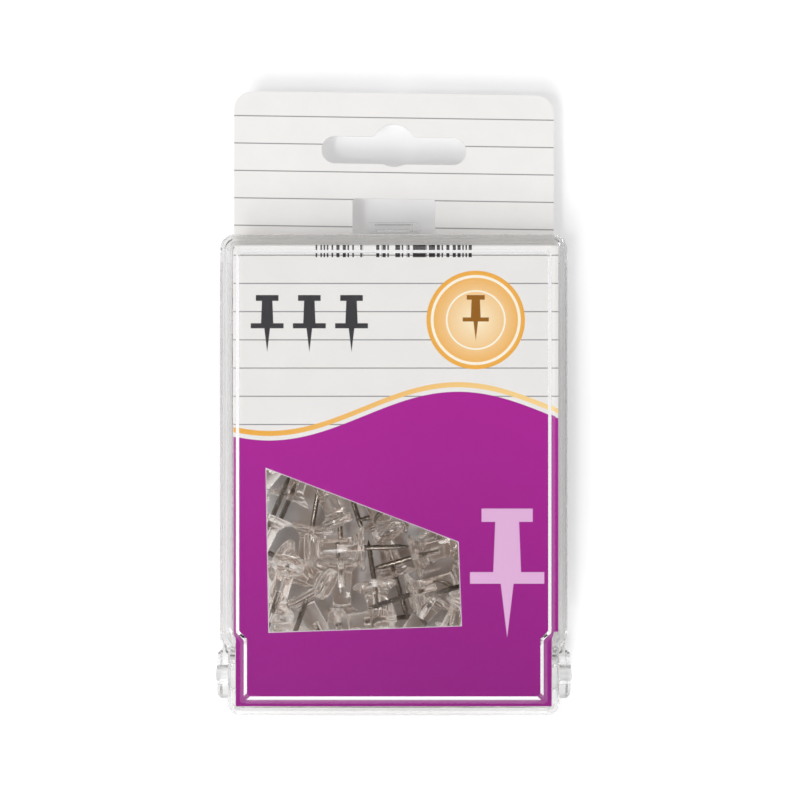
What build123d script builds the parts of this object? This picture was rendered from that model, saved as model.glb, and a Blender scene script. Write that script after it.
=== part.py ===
from build123d import *
import os
import math
import numpy as np

# Hang pack of clear push pins: a hinged clear case, a printed hang card and the loose pins.
# The pack lies on its back.  +Z points out of the front, +Y towards the hang card.
# Origin: middle of the case plan, on the back face.  All sizes are millimetres.

# Case
case_width = 74.0
case_length = 102.6
case_depth = 25.4
wall = 1.5
floor = 1.5
parting = 10.5
lid_draft = 0.4
corner_head = 3.2
corner_hinge = 2.6
jog_round = 0.6
inner_round = 0.4
tray_corner = 1.0
edge_round = 1.1
edge_steps = 3
rim_step = 0.2
base_edge = 0.8

# Raised front panel of the lid
panel_inset = 2.6
panel_raise = 0.8
panel_bevel = 0.9
panel_corner = 0.9
pocket_margin = 0.6

# Narrowed hinge end and the hinge itself
jog_from_end = 14.7
jog_run = 1.6
jog_depth = 1.65
pivot_inset = 6.5
pivot_height = 7.6
barrel_radius = 5.0
barrel_corner = 1.2
heel_drop = 2.0
heel_gap = 0.6
lid_lug_radius = 3.4
lug_gap = 0.8
ear_radius = 5.2
ear_stand_out = 1.2
ear_chamfer = 0.7
ear_gap = 0.25
cheek_gap = 0.6
trunnion_radius = 1.4
trunnion_clearance = 0.06
trunnion_stand_out = 0.5
trunnion_chamfer = 0.35

# Closure at the hang end
keeper_width = 11.0
keeper_reach = 1.0
keeper_depth = 1.5
tab_width = 12.2
tab_reach = 3.0
tab_thickness = 1.4
tab_corner = 1.4
rib_width = 7.0
rib_depth = 1.3
rib_height = 0.5
rib_inset = 0.5
latch_width = 8.4
latch_thickness = 1.2
latch_drop = 5.0
latch_bead = 0.3
bead_drop = 1.2
bead_inset = 0.6
running_gap = 0.1
lip_thickness = 0.8
lip_height = 1.6
lip_root = 2.5
lip_gap = 0.2
lip_from_end = 6.0

# Hang card
card = 0.45
card_side_gap = 0.4
card_slide = 0.05
card_end_gap = 0.4
fold_gap = 0.75
card_jog_gap = 0.15
slit_gap = 0.3
slit_play = 0.2
fold_round = 0.5
fold_inner = 0.1
header_length = 31.4
header_corner = 4.0
hang_slot_width = 31.8
hang_slot_height = 6.0
hang_slot_from_top = 12.6
hang_bump_radius = 4.7
hang_bump_rise = 1.1
hang_bump_blend = 1.2
notch_width = 18.2
notch_length = 8.2
notch_corner = 0.7
window = [(-27.2, 1.3), (13.7, -14.4), (14.4, -32.2), (-26.6, -33.6)]
window_corner = 0.4

# Push pins
pin_pour = 130
pin_groups = 10
flange_diameter = 10.0
flange_rim = 0.9
flange_dome = 1.7
waist_near_flange = 4.8
waist_near_cap = 4.0
cap_diameter = 7.4
cap_rim = 1.5
cap_flare = 0.9
cap_chamfer = 0.5
dimple_diameter = 3.4
dimple_depth = 0.4
head_length = 13.2
needle_diameter = 1.1
needle_out = 10.0
needle_in = 6.0
needle_point = 2.6

# Pouring of the pins: spacing, counts of moves, and how far a pin moves at a time
heap_seed = 7
heap_gap = 0.4
fold_stand_off = 0.75
pin_spacing = 0.25
start_tries = 6
start_step = 1.0
start_lean = [1.0, 1.0, 0.8]
pour_height = 4 * case_depth
settle_moves = 220
shake_rounds = 2
top_up = 80
balance = 3.0
first_move = 0.6
least_move = 0.05
largest_move = 1.0
move_shrink = 0.94
move_regrow = 1.3
move_reach = [3.0, 3.0, 1.5]
tilt_share = 0.35
steep_axis = 0.9
drop_step = 0.03

# Points and steps that stand for a pin while it is poured
skin_step = 0.9
needle_ring = 4
flange_ring = 14
cap_ring = 10
table_step = 0.05
hair = 0.001
near_margin = 1.0

# Overlap between pieces that are fused, and overshoot of cuts
bite = 0.2
spare = 5.0

# Derived positions
half = case_width / 2
end_y = case_length / 2
border_z = case_depth - panel_raise
rim_half = half + lid_draft
base_half = rim_half + rim_step
base_head = end_y + lid_draft + rim_step
pivot_y = -end_y + pivot_inset
pivot_z = pivot_height
lid_plate_out = rim_half - jog_depth
lid_plate_in = lid_plate_out - wall
ear_in = lid_plate_out + ear_gap
ear_out = base_half + ear_stand_out
cheek_half = lid_plate_in - cheek_gap
step_y = pivot_y + lid_lug_radius + lug_gap
riser_y = pivot_y + heel_drop + heel_gap
wide_from = -end_y + jog_from_end + jog_run + wall
card_half = half - wall - card_side_gap
card_half_hinge = half - jog_depth - wall - card_jog_gap
card_top = border_z - wall - card_slide
card_fold = end_y - wall - card - fold_gap
header_z = parting + card_slide
heap_top = card_top - card - heap_gap
header_end = base_head + header_length
slot_y = header_end - hang_slot_from_top
lip_out = rim_half - wall - lip_gap
tab_end = base_head + tab_reach
pin_length = needle_out + head_length
pin_middle = (head_length - needle_out) / 2


def block(x0, x1, y0, y1, z0, z1):
    """Axis-aligned box from its two corners."""
    size = Box(x1 - x0, y1 - y0, z1 - z0)
    return Pos((x0 + x1) / 2, (y0 + y1) / 2, (z0 + z1) / 2) * size


def side_rect(y0, y1, z0, z1):
    """Rectangle in the side view, Y across and Z up."""
    return Pos((y0 + y1) / 2, (z0 + z1) / 2) * Rectangle(y1 - y0, z1 - z0)


def across(side_sketch, x0, x1):
    """Side-view sketch made solid between two X positions."""
    return extrude(Plane.YZ.offset(x0) * side_sketch, amount=x1 - x0)


def both_sides(solid):
    return solid + mirror(solid, about=Plane.YZ)


def lid_plan(grow):
    """Lid outline moved outward by grow, with the narrowed hinge end."""
    wide = half + grow
    narrow = wide - jog_depth
    jog_angle = math.atan2(jog_depth, jog_run)
    jog = -end_y + jog_from_end - grow * math.tan(jog_angle / 2)
    right = [(narrow, -end_y - grow), (narrow, jog), (wide, jog + jog_run), (wide, end_y + grow)]
    left = [(-x, y) for x, y in reversed(right)]
    least = panel_corner if grow <= -panel_inset else inner_round
    hinge = max(corner_hinge + grow, least)
    head = max(corner_head + grow, least)
    rounds = [hinge, jog_round, jog_round, head, head, jog_round, jog_round, hinge]
    return make_face(FilletPolyline(*right, *left, radius=rounds, close=True))


def tapered(grow_low, z_low, grow_high, z_high):
    return loft([Pos(0, 0, z_low) * lid_plan(grow_low), Pos(0, 0, z_high) * lid_plan(grow_high)],
                ruled=True)


def lid_grow(z):
    """Outward growth of the drafted lid wall at a height."""
    return lid_draft * (border_z - z) / (border_z - parting)


def make_lid():
    low = pivot_z - lid_lug_radius - bite
    shell = tapered(lid_grow(low), low, lid_grow(border_z - edge_round), border_z - edge_round)
    # Rounded front edge, in steps of a quarter circle
    angles = [i * math.pi / 2 / edge_steps for i in range(edge_steps + 1)]
    for a, b in zip(angles, angles[1:]):
        low_in = edge_round * (1 - math.cos(a)) - lid_grow(border_z - edge_round)
        high_in = edge_round * (1 - math.cos(b)) - lid_grow(border_z - edge_round)
        shell += tapered(-low_in, border_z - edge_round * (1 - math.sin(a)),
                         -high_in, border_z - edge_round * (1 - math.sin(b)))
    shell += tapered(-panel_inset, border_z - bite, -panel_inset, border_z)
    shell += tapered(-panel_inset, border_z, -panel_inset - panel_bevel, case_depth)
    shell -= tapered(lid_grow(low - bite) - wall, low - bite, -wall, border_z - wall)
    pocket = panel_inset + pocket_margin
    shell -= tapered(-pocket, border_z - wall - bite, -pocket, border_z - wall)
    shell -= tapered(-pocket, border_z - wall, -pocket - panel_bevel, case_depth - wall)
    # Lower edge: straight rim, a heel at the hinge end and a round lug at each pivot
    above = case_depth + spare
    keep = side_rect(-end_y - spare, end_y + spare, parting + card_slide, above)
    keep += side_rect(-end_y - spare, pivot_y, pivot_z - heel_drop, above)
    keep += side_rect(pivot_y - lid_lug_radius, pivot_y + lid_lug_radius, pivot_z, above)
    keep += Pos(pivot_y, pivot_z) * Circle(lid_lug_radius)
    shell = shell & across(keep, -half - spare, half + spare)
    # Slit that lets the hang card out under the end wall
    slit = card_half + slit_gap
    slit_top = parting + card + slit_play
    shell -= block(-slit, slit, end_y - 2 * wall, end_y + spare, parting, slit_top)
    # Trunnions
    stub = across(Pos(pivot_y, pivot_z) * Circle(trunnion_radius), lid_plate_in + bite,
                  ear_out + trunnion_stand_out)
    stub = chamfer(stub.edges().group_by(Axis.X)[-1], trunnion_chamfer)
    shell += both_sides(stub)
    # Thumb tab with its grip rib and the latch tongue below it
    tab_top = slit_top + tab_thickness
    tab = block(-tab_width / 2, tab_width / 2, end_y - wall / 2, tab_end, slit_top, tab_top)
    outer_corners = tab.edges().filter_by(Axis.Z).group_by(Axis.Y)[-1]
    tab = fillet(outer_corners, tab_corner)
    rib_end = tab_end - rib_inset
    tab += block(-rib_width / 2, rib_width / 2, rib_end - rib_depth, rib_end, tab_top - bite,
                 tab_top + rib_height)
    tongue_y = base_head + keeper_reach + running_gap + latch_bead
    tongue_low = parting - latch_drop
    tongue = block(-latch_width / 2, latch_width / 2, tongue_y, tongue_y + latch_thickness, tongue_low,
                   slit_top + bite)
    bead_half = latch_width / 2 - bead_inset
    bead = Pos(tongue_y + latch_thickness / 2, parting - keeper_depth - bead_drop) * Circle(
        latch_thickness / 2 + latch_bead)
    bead = across(bead, -bead_half, bead_half)
    return shell + tab + tongue + bead


def hinge_profile(radius, y_riser, y_far, z_low, z_top):
    """Side view of the hinge end: a quarter round about the pivot, then a step down to the floor."""
    quarter = Pos(pivot_y, pivot_z) * Circle(radius)
    quarter = quarter & side_rect(pivot_y - radius, pivot_y, pivot_z - radius, pivot_z)
    profile = quarter + side_rect(pivot_y - radius, y_far, pivot_z, z_top)
    profile += side_rect(pivot_y, y_far, pivot_z - radius, pivot_z)
    return profile + side_rect(y_riser, y_far, z_low, pivot_z)


def make_base():
    tray_plan = make_face(FilletPolyline(
        (base_half, step_y), (base_half, base_head), (-base_half, base_head), (-base_half, step_y),
        radius=[tray_corner, corner_head, corner_head, tray_corner], close=True))
    tray = extrude(tray_plan, amount=parting)
    tray = fillet(tray.edges().group_by(Axis.Z)[0], base_edge)
    barrel_plan = make_face(FilletPolyline(
        (cheek_half, pivot_y - barrel_radius), (cheek_half, step_y + wall), (-cheek_half, step_y + wall),
        (-cheek_half, pivot_y - barrel_radius), radius=[barrel_corner, 0, 0, barrel_corner], close=True))
    barrel = across(hinge_profile(barrel_radius, riser_y, step_y + wall, 0, parting), -half, half)
    tray += barrel & extrude(barrel_plan, amount=parting)
    cavity_plan = make_face(FilletPolyline(
        (base_half - wall, step_y + wall), (base_half - wall, base_head - wall),
        (wall - base_half, base_head - wall), (wall - base_half, step_y + wall),
        radius=max(corner_head - wall, inner_round), close=True))
    tray -= extrude(Pos(0, 0, floor) * cavity_plan, amount=parting)
    inner_far = step_y + wall + spare
    inner = hinge_profile(barrel_radius - wall, riser_y + wall, inner_far, floor, parting + spare)
    tray -= across(inner, wall - cheek_half, cheek_half - wall)
    # Ears that carry the pivots
    ear = Pos(pivot_y, pivot_z) * Circle(ear_radius)
    ear += side_rect(pivot_y, step_y + wall, pivot_z - ear_radius, parting)
    ear = across(ear, ear_in, ear_out)
    ear = chamfer(ear.edges().group_by(Axis.X)[-1], ear_chamfer)
    ear -= across(Pos(pivot_y, pivot_z) * Circle(trunnion_radius + trunnion_clearance), ear_in, ear_out)
    tray += both_sides(ear)
    # Keeper for the latch bead
    keeper_half = keeper_width / 2
    tray += block(-keeper_half, keeper_half, base_head - wall / 2, base_head + keeper_reach,
                  parting - keeper_depth, parting)
    # Locating lips inside the lid walls
    lip_y0 = step_y + lip_from_end
    lip_y1 = base_head - lip_from_end
    lip_in = lip_out - lip_thickness
    lip = block(lip_in, lip_out, lip_y0, lip_y1, parting - lip_root, parting + lip_height)
    lip += block(lip_out - bite, base_half - wall + bite, lip_y0, lip_y1, parting - lip_root, parting)
    return tray + both_sides(lip)


def through_card(sketch, z):
    """Cutter that passes right through board whose lower face is at z."""
    return extrude(Pos(0, 0, z - card) * sketch, amount=3 * card)


def make_card():
    fold_out = card_fold + card
    low = header_z
    hinge_edge = -end_y + wall + card_end_gap
    side = FilletPolyline(
        (hinge_edge, card_top), (fold_out, card_top), (fold_out, low + card),
        (header_end, low + card), (header_end, low), (card_fold, low), (card_fold, card_top - card),
        (hinge_edge, card_top - card),
        radius=[0, fold_round, fold_inner, 0, 0, fold_round, fold_inner, 0], close=True)
    sheet = across(make_face(side), -card_half, card_half)
    # Narrower towards the hinge, like the lid
    sheet -= both_sides(block(card_half_hinge, half, -end_y, wide_from, card_top - 2 * card, border_z))
    # Rounded top of the header
    corners = sheet.edges().filter_by(Axis.Z).group_by(Axis.Y)[-1]
    sheet = fillet(corners, header_corner)
    # Hang slot with its middle bump
    slot = SlotOverall(hang_slot_width, hang_slot_height) + Pos(0, hang_bump_rise) * Circle(hang_bump_radius)
    inner_corners = [v for v in slot.vertices() if v.Y > 0 and abs(v.X) < hang_bump_radius]
    slot = fillet(inner_corners, hang_bump_blend)
    sheet -= through_card(Pos(0, slot_y) * slot, header_z)
    # Notch round the latch
    notch_y = base_head + notch_length
    notch = make_face(FilletPolyline(
        (notch_width / 2, base_head), (notch_width / 2, notch_y), (-notch_width / 2, notch_y),
        (-notch_width / 2, base_head), radius=[0, notch_corner, notch_corner, 0], close=True))
    sheet -= through_card(notch, header_z)
    # Viewing window in the front
    hole = make_face(FilletPolyline(*window, radius=window_corner, close=True))
    return sheet - through_card(hole, card_top - card)


def pin_profile():
    """Head outline as radius and distance from the flange face, needle side first."""
    dome = flange_rim + flange_dome
    cap_low = head_length - cap_rim
    return [(flange_diameter / 2, 0), (flange_diameter / 2, flange_rim), (waist_near_flange / 2, dome),
            (waist_near_cap / 2, cap_low - cap_flare), (cap_diameter / 2, cap_low),
            (cap_diameter / 2, head_length - cap_chamfer), (cap_diameter / 2 - cap_chamfer, head_length)]


def make_pin_head():
    outline = [(needle_diameter / 2, 0), *pin_profile()]
    outline += [(dimple_diameter / 2, head_length), (dimple_diameter / 2 - dimple_depth,
                                                     head_length - dimple_depth)]
    outline += [(0, head_length - dimple_depth), (0, needle_in), (needle_diameter / 2, needle_in)]
    return revolve(Plane.XZ * make_face(Polyline(*outline, close=True)), Axis.Z)


def make_pin_needle():
    radius = needle_diameter / 2
    outline = [(0, needle_in), (radius, needle_in), (radius, needle_point - needle_out), (0, -needle_out)]
    return revolve(Plane.XZ * make_face(Polyline(*outline, close=True)), Axis.Z)


class Heap:
    """Loose pins dropped into the tray one after another and then shaken down."""

    def __init__(self):
        self.rng = np.random.default_rng(heap_seed)
        self.points = self.skin_points()
        self.table_low = -needle_out - 2 * pin_spacing
        self.table = self.reach_table()
        self.ceiling = pour_height
        self.centres = np.zeros((0, 3))
        self.turns = np.zeros((0, 3, 3))
        self.skins = np.zeros((0, len(self.points), 3))

    def skin_points(self):
        """Points over the surface of a pin that stands on the origin, needle down."""
        shank = np.arange(needle_point - needle_out, 0, skin_step)
        rings = [(needle_diameter / 2, a, needle_ring) for a in shank]
        rings.append((0, -needle_out, 1))
        rings.append((flange_diameter / 4, 0, flange_ring))
        rings.append((cap_diameter / 4, head_length, cap_ring))
        outline = pin_profile()
        for (r0, a0), (r1, a1) in zip(outline, outline[1:]):
            steps = max(1, math.ceil(math.hypot(r1 - r0, a1 - a0) / skin_step))
            for t in np.arange(steps) / steps:
                radius = r0 + (r1 - r0) * t
                rings.append((radius, a0 + (a1 - a0) * t, math.ceil(2 * math.pi * radius / skin_step)))
        points = [(r * math.cos(2 * math.pi * i / n), r * math.sin(2 * math.pi * i / n), a)
                  for r, a, n in rings for i in range(n)]
        return np.array(points)

    def reach_table(self):
        """Radius of a pin, with the spacing added all round, by distance along its axis."""
        outline = [(0, -needle_out), (needle_diameter / 2, needle_point - needle_out),
                   (needle_diameter / 2, -hair), *pin_profile(), (0, head_length)]
        radius, along = np.array(outline).T
        grid = np.arange(self.table_low, head_length + 2 * pin_spacing, table_step)
        fine = np.arange(-needle_out, head_length, table_step / 2)
        own = np.interp(fine, along, radius)
        off = np.abs(grid[:, None] - fine[None, :])
        grown = own + np.sqrt(np.maximum(pin_spacing ** 2 - off ** 2, 0))
        return np.where(off <= pin_spacing, grown, -1).max(axis=1)

    def inside(self, offsets, axes):
        """True where any offset point lies in a pin that has the given axis."""
        along = np.einsum("kpi,ki->kp", offsets, axes)
        across_sq = np.einsum("kpi,kpi->kp", offsets, offsets) - along ** 2
        cell = np.clip(((along - self.table_low) / table_step).astype(int), 0, len(self.table) - 1)
        reach = self.table[cell]
        return bool(((reach > 0) & (across_sq < reach ** 2)).any())

    def in_tray(self, skin):
        x, y, z = skin[:, 0], skin[:, 1], skin[:, 2]
        gap = pin_spacing
        if z.min() < floor + gap or z.max() > self.ceiling or y.max() > card_fold - fold_stand_off:
            return False
        wide = y > max(step_y + wall, wide_from) + gap
        side = np.where(wide, lip_out - lip_thickness - gap, cheek_half - wall - gap)
        if (np.abs(x) > side).any():
            return False
        radius = barrel_radius - wall - gap
        back = y - pivot_y
        low = np.where(back < riser_y + wall + gap - pivot_y, pivot_z - radius, floor + gap)
        round_part = pivot_z - np.sqrt(np.maximum(radius ** 2 - np.minimum(back, 0) ** 2, 0))
        low = np.where(back < 0, round_part, low)
        return not ((back < -radius) | (z < low)).any()

    def free(self, centre, turn, skip=-1):
        """World points of a pin in this pose, or None where it meets the tray or another pin."""
        skin = centre + self.points @ turn.T
        if not self.in_tray(skin):
            return None
        middles = self.centres + pin_middle * self.turns[:, :, 2]
        away = np.linalg.norm(middles - centre - pin_middle * turn[:, 2], axis=1)
        near = away < pin_length + near_margin
        if skip >= 0:
            near[skip] = False
        if near.any():
            if self.inside(skin[None] - self.centres[near][:, None], self.turns[near][:, :, 2]):
                return None
            axes = np.repeat(turn[None, :, 2], near.sum(), axis=0)
            if self.inside(self.skins[near] - centre, axes):
                return None
        return skin

    def turn_from_axis(self, axis):
        axis = axis / np.linalg.norm(axis)
        helper = np.array([0, 0, 1.0]) if abs(axis[2]) < steep_axis else np.array([1.0, 0, 0])
        first = np.cross(helper, axis)
        first /= np.linalg.norm(first)
        return np.stack([first, np.cross(axis, first), axis], axis=1)

    def settle(self, centre, turn, skin, moves, skip=-1):
        """Let a pin roll downhill by small random moves that only ever lower it."""
        size = first_move
        for _ in range(moves):
            axis = turn[:, 2]
            new_turn = self.turn_from_axis(axis + self.rng.normal(0, tilt_share * size, 3))
            new_centre = centre + self.rng.normal(0, size, 3) * move_reach
            rise = new_centre[2] - centre[2] + balance * (new_turn[2, 2] - axis[2])
            if rise > 0:
                new_centre[2] -= 2 * rise
            new_skin = self.free(new_centre, new_turn, skip)
            if new_skin is None:
                size = max(size * move_shrink, least_move)
            else:
                centre, turn, skin = new_centre, new_turn, new_skin
                size = min(size * move_regrow, largest_move)
        return centre, turn, skin

    def random_start(self):
        """A pin in the lowest free place over a random spot of the tray, or None."""
        turn = self.turn_from_axis(self.rng.normal(0, 1, 3) * start_lean)
        centre = np.array([self.rng.uniform(-half, half), self.rng.uniform(pivot_y, card_fold), 0])
        lowest = floor + pin_spacing - (self.points @ turn.T)[:, 2].min()
        for height in np.arange(lowest, self.ceiling, start_step):
            centre[2] = height
            skin = self.free(centre, turn)
            if skin is not None:
                return centre, turn, skin
        return None

    def add_pin(self):
        best = None
        for _ in range(start_tries):
            start = self.random_start()
            if start is None:
                continue
            pose = self.settle(*start, settle_moves)
            if best is None or self.height(pose) < self.height(best):
                best = pose
        if best is None:
            return
        self.centres = np.vstack([self.centres, best[0]])
        self.turns = np.concatenate([self.turns, best[1][None]])
        self.skins = np.concatenate([self.skins, best[2][None]])

    def height(self, pose):
        return pose[0][2] + balance * pose[1][2, 2]

    def drop(self, i, step):
        """Lower pin i straight down until it would touch."""
        while True:
            lower = self.centres[i] - [0, 0, step]
            skin = self.free(lower, self.turns[i], i)
            if skin is None:
                return
            self.centres[i], self.skins[i] = lower, skin

    def shake(self):
        """Let every pin settle again, the lowest first."""
        for i in np.argsort(self.centres[:, 2]):
            pose = self.settle(self.centres[i], self.turns[i], self.skins[i], settle_moves, i)
            self.centres[i], self.turns[i], self.skins[i] = pose
            self.drop(i, drop_step)

    def fill(self):
        """Pour the pins in, strike off what stands above the fill line, then shake and top up."""
        for _ in range(pin_pour):
            self.add_pin()
        self.ceiling = heap_top
        kept = self.skins[:, :, 2].max(axis=1) < heap_top
        self.centres, self.turns, self.skins = self.centres[kept], self.turns[kept], self.skins[kept]
        for _ in range(shake_rounds):
            self.shake()
            for _ in range(top_up):
                self.add_pin()
        for i in range(len(self.centres)):
            self.drop(i, drop_step)
        return [(self.centres[i], self.turns[i]) for i in np.argsort(self.centres[:, 2])]


def pin_location(centre, turn):
    plane = Plane(origin=tuple(centre), x_dir=tuple(turn[:, 0]), z_dir=tuple(turn[:, 2]))
    return plane.location


os.makedirs("parts", exist_ok=True)
export_step(make_base(), "parts/case_base.step")
export_step(make_lid(), "parts/case_lid.step")
export_step(make_card(), "parts/hang_card.step")

places = [pin_location(centre, turn) for centre, turn in Heap().fill()]
pin_head = make_pin_head().solid()
pin_needle = make_pin_needle().solid()
for number in range(1, pin_groups + 1):
    group = places[number - 1::pin_groups]
    heads = Compound(children=[pin_head.moved(place) for place in group])
    needles = Compound(children=[pin_needle.moved(place) for place in group])
    export_step(heads, f"parts/pin_heads_{number:02d}.step")
    export_step(needles, f"parts/pin_needles_{number:02d}.step")
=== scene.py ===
import bpy
import math
import numpy as np
from mathutils import Matrix, Vector


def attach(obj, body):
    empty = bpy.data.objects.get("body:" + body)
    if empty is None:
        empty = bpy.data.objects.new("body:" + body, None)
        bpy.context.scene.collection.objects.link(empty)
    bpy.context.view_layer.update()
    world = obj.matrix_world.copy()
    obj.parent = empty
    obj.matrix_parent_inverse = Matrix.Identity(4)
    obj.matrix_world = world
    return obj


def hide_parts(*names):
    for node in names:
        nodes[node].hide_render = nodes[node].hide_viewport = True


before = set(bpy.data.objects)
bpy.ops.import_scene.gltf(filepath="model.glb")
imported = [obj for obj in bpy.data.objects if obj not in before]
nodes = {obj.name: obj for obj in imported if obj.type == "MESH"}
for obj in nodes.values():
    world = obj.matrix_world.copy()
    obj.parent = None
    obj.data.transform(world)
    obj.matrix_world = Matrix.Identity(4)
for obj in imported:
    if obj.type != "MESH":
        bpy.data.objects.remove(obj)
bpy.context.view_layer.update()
MM = 0.001


def srgb(r, g, b):
    """Linear colour of an 8-bit sRGB colour."""
    def linear(c):
        c /= 255
        return c / 12.92 if c <= 0.04045 else ((c + 0.055) / 1.055) ** 2.4
    return (linear(r), linear(g), linear(b), 1.0)


def grey(tone):
    return (tone, tone, tone, 1.0)


# Sizes that the looks share with the part, in millimetres
CASE_HALF_WIDTH, CASE_HALF_LENGTH = 37.6, 51.9
CARD_FOLD, HEADER_END, HEADER_HALF_WIDTH = 48.6, 83.3, 35.1
WINDOW = [(-27.2, 1.3), (-26.6, -33.6), (14.4, -32.2), (13.7, -14.4)]
NEEDLE_OUT, NEEDLE_IN, NEEDLE_R = 10.0, 6.0, 0.55

# The card's copy: skew of its header, and the left edge of its front panel above a height
HEADER_SKEW, SKEW_FROM, SKEW_TO = 0.0150, 52.5, 61.0
FRONT_LEFT, FRONT_FROM = -33.75, 17.0

# Clear plastic; the hinge's ears and lugs are a little frosted
CLEAR_ROUGHNESS, SCUFF_GAIN, SCUFF_FINENESS = 0.02, 2.5, 9
SCUFF_FROM, SCUFF_TO = 0.45, 0.8
RIPPLE_STRENGTH = 0.25
DEPTH_COLOUR = (0.80, 0.80, 0.79, 1.0)
EAR_FROM, EAR_TO, EAR_TOP = 33.6, -40.6, 11.2
EAR_FROST = 0.30
EAR_COLOUR = grey(0.94)
PIN_TINT, PIN_SHADOW = (1.0, 0.942, 0.895, 1.0), (0.62, 0.53, 0.47, 1.0)

# Needle steel
STEEL_DARK, STEEL_LIGHT = srgb(88, 79, 72), srgb(150, 140, 131)
STEEL_SMOOTH, STEEL_ROUGH = 0.16, 0.34

# Print on the card, in millimetres
PRINT_SOFT, CURVE_SOFT, MARGIN_SOFT, SIGN_SOFT = 0.05, 0.06, 0.04, 0.06
FACING, FACING_SOFT = 0.6, 0.1
PANEL_SOFT, FOLD_MARGIN, FOLD_SOFT = 0.5, 0.5, 0.1
LINE_PITCH, FIRST_LINE, FIRST_HEADER_LINE = 6.02, 40.8, 77.9
LINE_HALF, LINE_STRENGTH = 0.12, 0.75
WAVE_RATE, WAVE_PHASE, WAVE_HEIGHT, WAVE_LEVEL = 0.078, 0.5, 5.2, 12.5
WAVE_SHADE = -0.016
RIBBON_OFF, RIBBON_HALF, RIBBON_SHEEN, RIBBON_MIDDLE = 1.5, 0.55, 0.014, 0.5
DISC_X, DISC_Y, DISC_RADIUS = 17.5, 33.0, 10.5
DISC_RINGS = [(9.3, 0.3), (6.2, 0.18)]
DISC_SIGN, DISC_SIGN_RISE = 3.1, 0.3
ROW_LEFT, ROW_RIGHT, ROW_PITCH, ROW_Y, ROW_SIGN = -31.5, -4.5, 9.0, 32.0, 3.9
ROW_SOFT = 0.02
TALL_X, TALL_Y, TALL_SIGN = 24.2, -21.5, 8.8
WINDOW_MARGIN = 0.14
BAR_WIDTH, BARS_HALF, BARS_FROM_Z, BARS_ON_FRONT = 0.34, 17.0, 14.5, 2.2
BAR_SHARE, BAR_SOFT = 0.5, 0.01
BAR_STIR, BAR_SPREAD = 12.9898, 437.585

# Pin sign in units of its size: half width, low and high end of cap and collar, then stem and point
SIGN_CAP, SIGN_COLLAR = (0.62, 1.3, 1.62), (0.9, -0.2, 0.08)
STEM_HALF, STEM_TAPER, STEM_TOP = 0.34, -0.04, 1.4
POINT_TAPER, POINT_LOW, POINT_TOP = 0.12, -1.5, -0.1

# Inks
BOARD_DARK, BOARD_LIGHT, BARE_BOARD = srgb(233, 231, 229), srgb(241, 239, 237), srgb(222, 215, 219)
LINE_GREY, CHARCOAL, BAR_BLACK = srgb(92, 92, 96), srgb(58, 56, 60), srgb(40, 38, 40)
PURPLE, PURPLE_DEEP, LILAC = srgb(170, 28, 148), srgb(142, 17, 126), srgb(226, 178, 220)
RIBBON_GOLD, RIBBON_PALE = srgb(238, 170, 62), srgb(250, 216, 150)
DISC_PALE, DISC_GOLD = srgb(255, 240, 205), srgb(240, 172, 64)
RING_CREAM, SIGN_BROWN = srgb(255, 247, 228), srgb(150, 96, 24)

# Pin profiles: (radius, height) in millimetres, the flange's face at height 0
BORE_GAP, BORE_MOUTH = 0.01, 0.25
FLANGE_FACE = [(0.95, 0.0), (2.6, 0.0), (4.2, 0.0)]
FLANGE_TOP = [(4.2, 1.12), (3.6, 1.5), (3.05, 1.95)]
WAIST = [(2.62, 2.5), (2.42, 3.1), (2.3, 4.2), (2.18, 6.0), (2.08, 8.0), (2.02, 9.6), (2.1, 10.3)]
CAP_UNDER = [(2.4, 10.75), (2.9, 11.05), (3.3, 11.3)]
CAP_RECESS = [(2.3, 13.18), (1.85, 13.15), (1.6, 12.98), (1.3, 12.84), (0.7, 12.8), (0.0, 12.8)]
SHANK_END = -7.3
NEEDLE_POINT = [(0.5, -7.9), (0.36, -8.7), (0.18, -9.5), (0.05, -9.92), (0.0, -NEEDLE_OUT)]

# Rounded edges of the head: middle's radius and height, own radius, angles in degrees, steps
FLANGE_RIM = (4.55, 0.45, 0.45, -90, 60, 7)
CAP_SIDE = (3.08, 11.85, 0.6, -50, 40, 6)
CAP_EDGE = (2.95, 12.45, 0.7, 20, 90, 6)

# Needle inside the head: (radius, depth under its end), and (depth of groove, height) around each grip ring
NEEDLE_END = [(0.0, 0.02), (0.42, 0.05), (NEEDLE_R, 0.3)]
GRIP_RING = [(0.0, 0.1), (0.1, 0.0), (0.1, -0.12), (0.0, -0.2)]
GRIP_RINGS, GRIP_PITCH, GRIP_FROM = 7, 0.42, 0.7

# Turning: points around, points taken as one to a micrometre, and the length of a needle's end face in metres
HEAD_SEGMENTS, NEEDLE_SEGMENTS = 40, 14
MICROMETRES, END_BAND = 1e6, 1e-5

# Floor: size and drop in metres, colour, and how much it glows to the camera. Each shade is a rectangle of
# painted shade:
# half width, low and high y, start and end of its soft edge, and the share of the glow left inside.
FLOOR_HALF, FLOOR_DROP = 3.0, 0.0003
FLOOR_COLOUR = (0.94, 0.94, 0.95, 1.0)
FLOOR_GLOW = 0.19
HEADER_SHADE = (HEADER_HALF_WIDTH, CASE_HALF_LENGTH, HEADER_END, -5.0, 4.0, 0.7)
CASE_SHADE = (CASE_HALF_WIDTH, -CASE_HALF_LENGTH, CASE_HALF_LENGTH, -12.0, -3.0, 0.0)
HINGE_SHADE = (40.5, -56.5, -36.0, -3.0, 0.5, 0.2)

# Room light from the horizon to overhead: sine of the elevation, and the tone there
ROOM_TONES = [(0.0, 0.95), (0.30, 0.95), (0.58, 0.70), (0.90, 0.70), (0.955, 0.10)]

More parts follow.
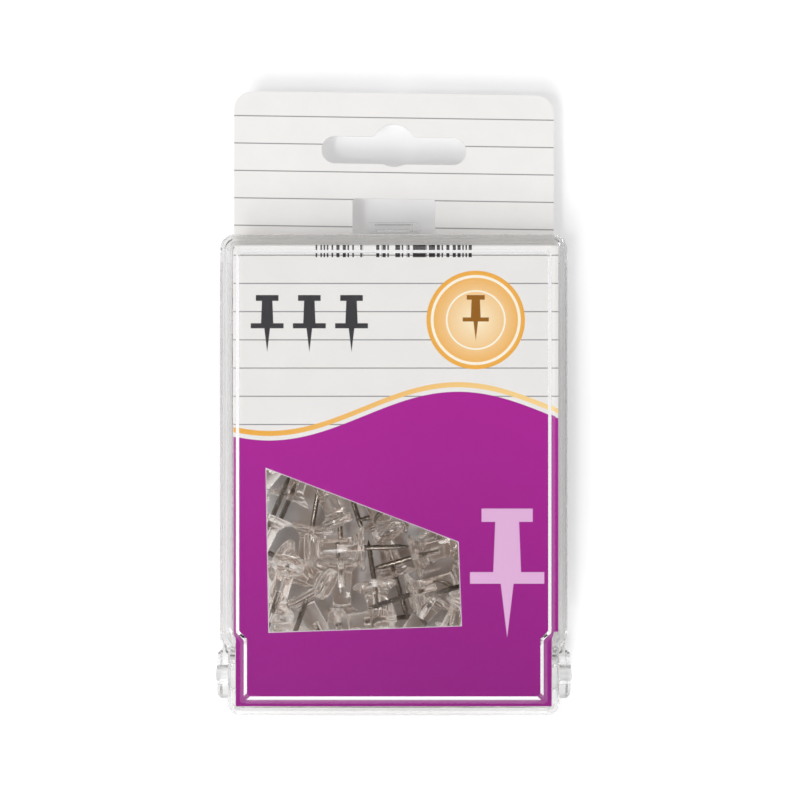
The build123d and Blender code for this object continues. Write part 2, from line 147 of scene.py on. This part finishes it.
# Lamps: name, place in metres, diameter and watts
LAMPS = [
    ("key", (-0.28, -0.44, 1.12), 0.36, 3.4),
    ("fill", (-0.12, -0.85, 0.95), 0.5, 2.5),
    ("spark", (-0.28, -0.20, 1.2), 0.1, 1.7),
]
LAMP_AIM = (0, 0.01, 0)

# Camera: place in millimetres, focal length in pixels of an image 800 wide
CAMERA_AT = (1.34, 15.93, 447)
SENSOR, FOCAL_PIXELS, IMAGE_WIDTH, CLIP_START = 36.0, 1985, 800, 0.01

# Light reflected inside clear plastic counts as glossy
LIGHT_BOUNCES, CLEAR_BOUNCES = 24, 32


class Shader:
    """Small helper that writes a node material as plain expressions."""

    def __init__(self, name):
        self.material = bpy.data.materials.new(name)
        self.material.use_nodes = True
        self.tree = self.material.node_tree
        self.tree.nodes.clear()
        self.out = self.tree.nodes.new("ShaderNodeOutputMaterial")

    def node(self, kind, values=None, **attributes):
        made = self.tree.nodes.new(kind)
        for key, value in attributes.items():
            setattr(made, key, value)
        for key, value in (values or {}).items():
            self.put(made.inputs[key], value)
        return made

    def put(self, socket, value):
        if isinstance(value, bpy.types.NodeSocket):
            self.tree.links.new(value, socket)
        else:
            socket.default_value = value

    def math(self, operation, *values, clamp=False):
        made = self.node("ShaderNodeMath", operation=operation, use_clamp=clamp)
        for i, value in enumerate(values):
            self.put(made.inputs[i], value)
        return made.outputs[0]

    def ramp(self, value, low, high, at_low, at_high, smooth=False):
        """Value taken from low..high to at_low..at_high, and held there beyond."""
        made = self.node("ShaderNodeMapRange", {"Value": value, "From Min": low, "From Max": high,
                                                "To Min": at_low, "To Max": at_high})
        if smooth:
            made.interpolation_type = "SMOOTHSTEP"
        return made.outputs["Result"]

    def below(self, value, limit, soft=PRINT_SOFT):
        """1 where value is under limit, with a soft edge."""
        if isinstance(limit, bpy.types.NodeSocket):
            value, limit = self.math("SUBTRACT", value, limit), 0.0
        return self.ramp(value, limit - soft, limit + soft, 1.0, 0.0, smooth=True)

    def above(self, value, limit, soft=PRINT_SOFT):
        return self.math("SUBTRACT", 1.0, self.below(value, limit, soft))

    def near(self, value, middle, half, soft=PRINT_SOFT):
        """1 where value is within half of middle."""
        return self.below(self.math("ABSOLUTE", self.math("SUBTRACT", value, middle)), half, soft)

    def both(self, *masks):
        result = masks[0]
        for mask in masks[1:]:
            result = self.math("MULTIPLY", result, mask)
        return result

    def either(self, *masks):
        result = masks[0]
        for mask in masks[1:]:
            result = self.math("MAXIMUM", result, mask)
        return result

    def mix(self, factor, a, b):
        made = self.node("ShaderNodeMix", data_type="RGBA")
        self.put(made.inputs["Factor"], factor)
        self.put(made.inputs[6], a)
        self.put(made.inputs[7], b)
        return made.outputs[2]

    def place(self):
        """Object coordinates in millimetres."""
        coords = self.node("ShaderNodeTexCoord")
        split = self.node("ShaderNodeSeparateXYZ", {0: coords.outputs["Object"]})
        return [self.math("MULTIPLY", split.outputs[i], 1 / MM) for i in range(3)]

    def noise(self, scale, detail=3.0, roughness=0.5):
        source = self.node("ShaderNodeTexCoord").outputs["Object"]
        made = self.node("ShaderNodeTexNoise", {"Vector": source, "Scale": scale, "Detail": detail,
                                                "Roughness": roughness})
        return made.outputs["Fac"]

    def bump(self, height, strength, distance):
        made = self.node("ShaderNodeBump", {"Height": height, "Strength": strength, "Distance": distance})
        return made.outputs["Normal"]

    def finish(self, shader):
        self.tree.links.new(shader, self.out.inputs["Surface"])
        return self.material


def clear_plastic(name, colour, shadow, clarity, ior, ripple_scale, ripple_depth, depth_tint=0.0,
                  frosted_ears=False):
    """Clear moulding that lets the lamps through, with a faint moulding ripple."""
    s = Shader(name)
    ripple = s.noise(ripple_scale, detail=2.0)
    scuff = s.noise(ripple_scale * SCUFF_FINENESS, detail=4.0, roughness=0.65)
    rough = s.ramp(scuff, SCUFF_FROM, SCUFF_TO, CLEAR_ROUGHNESS, CLEAR_ROUGHNESS * SCUFF_GAIN)
    if frosted_ears:
        x, y, z = s.place()
        ears = s.both(s.above(s.math("ABSOLUTE", x), EAR_FROM), s.below(y, EAR_TO), s.below(z, EAR_TOP))
        rough = s.math("MULTIPLY_ADD", ears, EAR_FROST, rough)
        colour = s.mix(ears, colour, EAR_COLOUR)
    glass = s.node("ShaderNodeBsdfPrincipled", {
        "Base Color": colour, "Roughness": rough, "IOR": ior, "Transmission Weight": clarity,
        "Normal": s.bump(ripple, RIPPLE_STRENGTH, ripple_depth)})
    through = s.node("ShaderNodeBsdfTransparent", {"Color": shadow})
    path = s.node("ShaderNodeLightPath")
    lit = s.math("MAXIMUM", path.outputs["Is Shadow Ray"], path.outputs["Is Diffuse Ray"])
    mixed = s.node("ShaderNodeMixShader", {0: lit, 1: glass.outputs[0], 2: through.outputs[0]})
    if depth_tint:
        tint = s.node("ShaderNodeVolumeAbsorption", {"Color": DEPTH_COLOUR, "Density": depth_tint})
        s.tree.links.new(tint.outputs[0], s.out.inputs["Volume"])
    return s.finish(mixed.outputs[0])


def needle_steel():
    s = Shader("needle_steel")
    drawn = s.noise(900.0, detail=2.0)
    metal = s.node("ShaderNodeBsdfPrincipled", {
        "Base Color": s.mix(s.noise(260.0, detail=2.0), STEEL_DARK, STEEL_LIGHT), "Metallic": 1.0,
        "Roughness": s.ramp(drawn, 0.0, 1.0, STEEL_SMOOTH, STEEL_ROUGH),
        "Normal": s.bump(drawn, strength=0.1, distance=0.00005)})
    return s.finish(metal.outputs[0])


class CardPrint(Shader):
    """Off-white ruled card with a plain wave, ring and pin-sign design, laid down ink by ink."""

    def __init__(self):
        super().__init__("printed_card")
        self.x, self.y, self.z = self.place()
        normal = self.node("ShaderNodeTexCoord").outputs["Normal"]
        facing = self.node("ShaderNodeSeparateXYZ", {0: normal}).outputs
        front = self.above(facing[2], FACING, FACING_SOFT)
        self.outside = self.above(facing[1], FACING, FACING_SOFT)
        self.on_front = self.both(front, self.below(self.y, CARD_FOLD + FOLD_MARGIN, FOLD_SOFT),
                                  self.above(self.z, FRONT_FROM, PANEL_SOFT))
        self.on_header = self.both(front, self.below(self.z, FRONT_FROM, PANEL_SOFT))
        self.ink = self.mix(self.noise(140.0, detail=4.0, roughness=0.6), BOARD_DARK, BOARD_LIGHT)

    def paint(self, mask, colour):
        self.ink = self.mix(mask, self.ink, colour)

    def pin_sign(self, x, y, size):
        """Mask of a simple upright push-pin sign; x and y are millimetres from its middle."""
        x = self.math("ABSOLUTE", self.math("DIVIDE", x, size))
        y = self.math("DIVIDE", y, size)
        soft = SIGN_SOFT / size

        def band(half_width, low, high):
            return self.both(self.below(x, half_width, soft), self.below(y, high, soft),
                             self.above(y, low, soft))

        stem = self.math("ADD", self.math("MULTIPLY", y, STEM_TAPER), STEM_HALF)
        point = self.math("MULTIPLY", self.math("SUBTRACT", y, POINT_LOW), POINT_TAPER, clamp=True)
        return self.either(band(*SIGN_CAP), band(stem, 0.0, STEM_TOP), band(*SIGN_COLLAR),
                           band(point, POINT_LOW, POINT_TOP))

    def lines(self):
        """Ruled lines on the front, and on the header, where they are askew as it is."""
        skewed = self.math("MULTIPLY_ADD", self.x, HEADER_SKEW, self.y)
        level = self.node("ShaderNodeMix", {"Factor": self.on_header, "A": self.y, "B": skewed})

        def ruled(first):
            above_first = self.math("SUBTRACT", level.outputs["Result"], first - LINE_PITCH / 2)
            step = self.math("FRACT", self.math("DIVIDE", above_first, LINE_PITCH))
            off = self.math("ABSOLUTE", self.math("SUBTRACT", step, 0.5))
            return self.below(self.math("MULTIPLY", off, LINE_PITCH), LINE_HALF)

        mask = self.either(self.both(self.on_front, ruled(FIRST_LINE)),
                           self.both(self.on_header, ruled(FIRST_HEADER_LINE)))
        self.paint(self.math("MULTIPLY", mask, LINE_STRENGTH), LINE_GREY)

    def wave(self):
        """Purple field with a thin gold ribbon along its edge."""
        swell = self.math("SINE", self.math("MULTIPLY_ADD", self.x, WAVE_RATE, WAVE_PHASE))
        edge = self.math("MULTIPLY_ADD", swell, WAVE_HEIGHT, WAVE_LEVEL)
        rise = self.math("SUBTRACT", self.y, edge)
        shade = self.math("MULTIPLY_ADD", rise, WAVE_SHADE, 0.0, clamp=True)
        self.paint(self.both(self.on_front, self.below(rise, 0.0, CURVE_SOFT)),
                   self.mix(shade, PURPLE, PURPLE_DEEP))
        sheen = self.math("MULTIPLY_ADD", self.x, RIBBON_SHEEN, RIBBON_MIDDLE, clamp=True)
        self.paint(self.both(self.on_front, self.near(rise, RIBBON_OFF, RIBBON_HALF)),
                   self.mix(sheen, RIBBON_GOLD, RIBBON_PALE))

    def disc(self):
        """Ringed gold disc with a pin sign."""
        x = self.math("SUBTRACT", self.x, DISC_X)
        y = self.math("SUBTRACT", self.y, DISC_Y)
        away = self.math("SQRT", self.math("ADD", self.math("MULTIPLY", x, x), self.math("MULTIPLY", y, y)))
        inside = self.both(self.on_front, self.below(away, DISC_RADIUS, CURVE_SOFT))
        glow = self.math("DIVIDE", away, DISC_RADIUS, clamp=True)
        self.paint(inside, self.mix(glow, DISC_PALE, DISC_GOLD))
        rings = self.either(*[self.near(away, radius, half) for radius, half in DISC_RINGS])
        self.paint(self.both(inside, rings), RING_CREAM)
        sign = self.pin_sign(x, self.math("SUBTRACT", y, DISC_SIGN_RISE), DISC_SIGN)
        self.paint(self.both(self.on_front, sign), SIGN_BROWN)

    def signs(self):
        """Row of charcoal pin signs, and a pale tall one on the wave field."""
        shifted = self.math("ADD", self.x, 10 * ROW_PITCH - ROW_LEFT)
        cell = self.math("SUBTRACT", self.math("MODULO", shifted, ROW_PITCH), ROW_PITCH / 2)
        row = self.pin_sign(cell, self.math("SUBTRACT", self.y, ROW_Y), ROW_SIGN)
        self.paint(self.both(self.on_front, row, self.below(self.x, ROW_RIGHT, ROW_SOFT),
                             self.above(self.x, ROW_LEFT, ROW_SOFT)), CHARCOAL)
        tall = self.pin_sign(self.math("SUBTRACT", self.x, TALL_X), self.math("SUBTRACT", self.y, TALL_Y),
                             TALL_SIGN)
        self.paint(self.both(self.on_front, tall), LILAC)

    def window_edge(self):
        """Bare board where the window was die-cut."""
        gaps = []
        for (x0, y0), (x1, y1) in zip(WINDOW, WINDOW[1:] + WINDOW[:1]):
            length = math.hypot(x1 - x0, y1 - y0)
            out_x, out_y = (y1 - y0) / length, (x0 - x1) / length
            reach = self.math("MULTIPLY_ADD", self.x, out_x, -(x0 * out_x + y0 * out_y))
            gaps.append(self.math("MULTIPLY_ADD", self.y, out_y, reach))
        margin = self.below(self.either(*gaps), WINDOW_MARGIN, MARGIN_SOFT)
        self.paint(self.both(self.on_front, margin), BARE_BOARD)

    def bars(self):
        """Plain bars on the top panel that run over its fold."""
        stripe = self.math("FLOOR", self.math("DIVIDE", self.x, BAR_WIDTH))
        stirred = self.math("SINE", self.math("MULTIPLY", stripe, BAR_STIR))
        pick = self.math("FRACT", self.math("MULTIPLY", stirred, BAR_SPREAD))
        ends = self.either(self.both(self.outside, self.above(self.z, BARS_FROM_Z, FOLD_SOFT)),
                           self.both(self.on_front, self.above(self.y, CARD_FOLD - BARS_ON_FRONT, FOLD_SOFT)))
        self.paint(self.both(ends, self.below(self.math("ABSOLUTE", self.x), BARS_HALF),
                             self.above(pick, BAR_SHARE, BAR_SOFT)), BAR_BLACK)

    def coated(self):
        """The finished material: a dull coat with fine grain over the ink."""
        coat = self.node("ShaderNodeBsdfPrincipled", {
            "Base Color": self.ink, "Roughness": 0.55, "Specular IOR Level": 0.12,
            "Normal": self.bump(self.noise(2600.0, detail=2.0), strength=0.12, distance=0.00006)})
        return self.finish(coat.outputs[0])


def printed_card():
    card = CardPrint()
    card.lines()
    card.wave()
    card.disc()
    card.signs()
    card.window_edge()
    card.bars()
    return card.coated()


def floor_white():
    """White sweep that shows a little over-lit, with painted shade: less glow under the hang card, the case
    and the hinge.
    """
    s = Shader("floor_white")
    x, y, _ = s.place()

    def open_floor(half_x, low_y, high_y, inner, outer, least):
        """Share of the glow left at a distance from a rectangle of painted shade: least well inside it, 1
        outside.
        """
        middle = (low_y + high_y) / 2
        off_x = s.math("SUBTRACT", s.math("ABSOLUTE", x), half_x)
        off_y = s.math("SUBTRACT", s.math("ABSOLUTE", s.math("SUBTRACT", y, middle)), high_y - middle)
        return s.ramp(s.math("MAXIMUM", off_x, off_y), inner, outer, least, 1.0, smooth=True)

    path = s.node("ShaderNodeLightPath").outputs
    seen = s.either(path["Is Camera Ray"], path["Is Glossy Ray"], path["Is Transmission Ray"])
    # Painted shade: less glow under the hang card, the case and the hinge stands in for their shadow on the
    # floor.
    shades = [open_floor(*shade) for shade in (HEADER_SHADE, CASE_SHADE, HINGE_SHADE)]
    glow = s.math("MULTIPLY", s.both(*shades, seen), FLOOR_GLOW)
    paper = s.node("ShaderNodeBsdfPrincipled", {
        "Base Color": FLOOR_COLOUR, "Roughness": 0.9, "Specular IOR Level": 0.1,
        "Emission Color": grey(1.0), "Emission Strength": glow})
    return s.finish(paper.outputs[0])


def islands(mesh):
    """Points of the separate shells in a mesh, joined where their points coincide."""
    points = np.array([v.co for v in mesh.vertices])
    keys = {}
    owner = list(range(len(points)))

    def root(i):
        while owner[i] != i:
            owner[i] = owner[owner[i]]
            i = owner[i]
        return i

    for i, p in enumerate(np.round(points * MICROMETRES).astype(int)):
        j = keys.setdefault(tuple(p), i)
        owner[root(i)] = root(j)
    for edge in mesh.edges:
        owner[root(edge.vertices[0])] = root(edge.vertices[1])
    groups = {}
    for i in range(len(points)):
        groups.setdefault(root(i), []).append(i)
    return [points[g] for g in groups.values()]


def pin_pose(points):
    """Matrix that puts a pin standing on the origin, needle down, where this needle lies."""
    middle = points.mean(axis=0)
    _, _, rows = np.linalg.svd(points - middle, full_matrices=False)
    axis = rows[0]
    along = (points - middle) @ axis
    spread = np.linalg.norm(points - middle - along[:, None] * axis, axis=1)
    low_end = spread[along < along.min() + END_BAND].max()
    high_end = spread[along > along.max() - END_BAND].max()
    if low_end > high_end:
        axis, along = -axis, -along
    tip = middle + axis * along.min()
    up = Vector(axis)
    turn = up.to_track_quat("Z", "Y").to_matrix().to_4x4()
    return Matrix.Translation(Vector(tip) + up * NEEDLE_OUT * MM) @ turn


def lathe(profile, segments):
    """Closed mesh data from a profile of (radius, height) points in millimetres, axis to axis."""
    verts, faces, rings = [], [], []
    for r, h in profile:
        if r == 0:
            rings.append([len(verts)])
            verts.append(Vector((0, 0, h * MM)))
        else:
            rings.append(list(range(len(verts), len(verts) + segments)))
            for i in range(segments):
                angle = 2 * math.pi * i / segments
                verts.append(Vector((r * math.cos(angle) * MM, r * math.sin(angle) * MM, h * MM)))
    for low, high in zip(rings, rings[1:]):
        for i in range(segments):
            j = (i + 1) % segments
            if len(low) == 1:
                faces.append((low[0], high[j], high[i]))
            elif len(high) == 1:
                faces.append((low[i], low[j], high[0]))
            else:
                faces.append((low[i], low[j], high[j], high[i]))
    return verts, faces


def arc(centre_r, centre_h, radius, start, end, steps):
    """Profile points on an arc, angles in degrees."""
    out = []
    for i in range(steps + 1):
        a = math.radians(start + (end - start) * i / steps)
        out.append((centre_r + radius * math.cos(a), centre_h + radius * math.sin(a)))
    return out


def head_profile():
    """Moulded head: bored flange with a rounded rim, drawn-in waist, rounded cap with a recess."""
    bore = NEEDLE_R + BORE_GAP
    out = [(0.0, NEEDLE_IN), (bore, NEEDLE_IN), (bore, BORE_MOUTH), *FLANGE_FACE]
    out += arc(*FLANGE_RIM)
    out += FLANGE_TOP + WAIST + CAP_UNDER
    out += arc(*CAP_SIDE)
    out += arc(*CAP_EDGE)
    return out + CAP_RECESS


def needle_profile():
    """Drawn needle: squashed grip rings in the head, long shank and a ground point."""
    out = [(radius, NEEDLE_IN - depth) for radius, depth in NEEDLE_END]
    for i in range(GRIP_RINGS):
        h = NEEDLE_IN - GRIP_FROM - i * GRIP_PITCH
        out += [(NEEDLE_R - groove, h + rise) for groove, rise in GRIP_RING]
    out += [(NEEDLE_R, 0.0), (NEEDLE_R, SHANK_END), *NEEDLE_POINT]
    return list(reversed(out))


def link(name, data):
    piece = bpy.data.objects.new(name, data)
    bpy.context.scene.collection.objects.link(piece)
    return piece


def pin_group(name, profile, segments, poses, material):
    verts, faces = lathe(profile, segments)
    all_verts, all_faces = [], []
    for pose in poses:
        base = len(all_verts)
        all_verts += [pose @ v for v in verts]
        all_faces += [tuple(i + base for i in f) for f in faces]
    mesh = bpy.data.meshes.new(name)
    mesh.from_pydata(all_verts, [], all_faces)
    mesh.materials.append(material)
    mesh.polygons.foreach_set("use_smooth", [True] * len(mesh.polygons))
    mesh.update()
    return link(name, mesh)


def dress(node, material):
    node.data.materials.clear()
    node.data.materials.append(material)


def skewed_card():
    """The hang card with its header a little askew and its front panel cut short at the left."""
    mesh = nodes["hang_card"].data.copy()
    for vertex in mesh.vertices:
        share = min(max((vertex.co.y / MM - SKEW_FROM) / (SKEW_TO - SKEW_FROM), 0.0), 1.0)
        vertex.co.y -= HEADER_SKEW * share * vertex.co.x
        if vertex.co.z > FRONT_FROM * MM:
            vertex.co.x = max(vertex.co.x, FRONT_LEFT * MM)
    piece = link("folded_card", mesh)
    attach(piece, "lid")
    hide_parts("hang_card")


def turned_pins(clear, metal):
    """Heads and needles turned from finer profiles, where the solids' needles lie."""
    for name, node in nodes.items():
        if name.startswith("pin_heads"):
            dress(node, clear)
        if name.startswith("pin_needles"):
            dress(node, metal)
            poses = [pin_pose(points) for points in islands(node.data)]
            heads = name.replace("needles", "heads")
            head_name = "moulded_" + heads.removeprefix("pin_")
            needle_name = "drawn_" + name.removeprefix("pin_")
            head_piece = pin_group(head_name, head_profile(), HEAD_SEGMENTS, poses, clear)
            needle_piece = pin_group(needle_name, needle_profile(), NEEDLE_SEGMENTS, poses, metal)
            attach(head_piece, "base")
            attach(needle_piece, "base")
            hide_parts(heads)
            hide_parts(name)


def studio_floor():
    corners = [(-1, -1), (1, -1), (1, 1), (-1, 1)]
    floor_mesh = bpy.data.meshes.new("floor")
    floor_mesh.from_pydata([(x * FLOOR_HALF, y * FLOOR_HALF, -FLOOR_DROP) for x, y in corners], [],
                           [(0, 1, 2, 3)])
    floor_mesh.materials.append(floor_white())
    floor_piece = link("floor", floor_mesh)


def studio_world():
    """Pale room, brightest near the horizon, with a dark ceiling patch straight overhead."""
    world = bpy.data.worlds.new("studio")
    world.use_nodes = True
    tree = world.node_tree
    ground = tree.nodes["Background"]
    ground.inputs["Strength"].default_value = 1.0
    up = tree.nodes.new("ShaderNodeSeparateXYZ")
    tree.links.new(tree.nodes.new("ShaderNodeTexCoord").outputs["Generated"], up.inputs[0])
    ramp = tree.nodes.new("ShaderNodeValToRGB")
    ramp.color_ramp.interpolation = "EASE"
    stops = ramp.color_ramp.elements
    while len(stops) < len(ROOM_TONES):
        stops.new(1.0)
    for stop, (height, tone) in zip(stops, ROOM_TONES):
        stop.position = height
        stop.color = grey(tone)
    tree.links.new(up.outputs["Z"], ramp.inputs["Fac"])
    tree.links.new(ramp.outputs["Color"], ground.inputs["Color"])
    bpy.context.scene.world = world


def lamp(name, place, size, power):
    light = bpy.data.lights.new(name, "AREA")
    light.shape = "DISK"
    light.size = size
    light.energy = power
    made = link(name, light)
    made.location = place
    made.rotation_euler = (Vector(LAMP_AIM) - Vector(place)).to_track_quat("-Z", "Y").to_euler()


def photo_camera():
    """Camera straight above the pack, as in the photograph."""
    camera = bpy.data.cameras.new("camera")
    camera.sensor_width = SENSOR
    camera.lens = SENSOR * FOCAL_PIXELS / IMAGE_WIDTH
    camera.clip_start = CLIP_START
    view = link("camera", camera)
    view.location = [c * MM for c in CAMERA_AT]
    bpy.context.scene.camera = view


case_clear = clear_plastic("case_clear", grey(0.985), grey(0.99), clarity=1.0, ior=1.47, ripple_scale=22.0,
                           ripple_depth=0.00025, depth_tint=26.0, frosted_ears=True)
pin_clear = clear_plastic("pin_clear", PIN_TINT, PIN_SHADOW, clarity=0.985, ior=1.58, ripple_scale=160.0,
                          ripple_depth=0.0001)
steel = needle_steel()
card = printed_card()

dress(nodes["case_base"], case_clear)
dress(nodes["case_lid"], case_clear)
dress(nodes["hang_card"], card)
skewed_card()
turned_pins(pin_clear, steel)

studio_floor()
studio_world()
for settings in LAMPS:
    lamp(*settings)
photo_camera()

scene = bpy.context.scene
scene.view_settings.view_transform = "Standard"
scene.cycles.max_bounces = LIGHT_BOUNCES
scene.cycles.glossy_bounces = LIGHT_BOUNCES
scene.cycles.transmission_bounces = LIGHT_BOUNCES
scene.cycles.transparent_max_bounces = CLEAR_BOUNCES
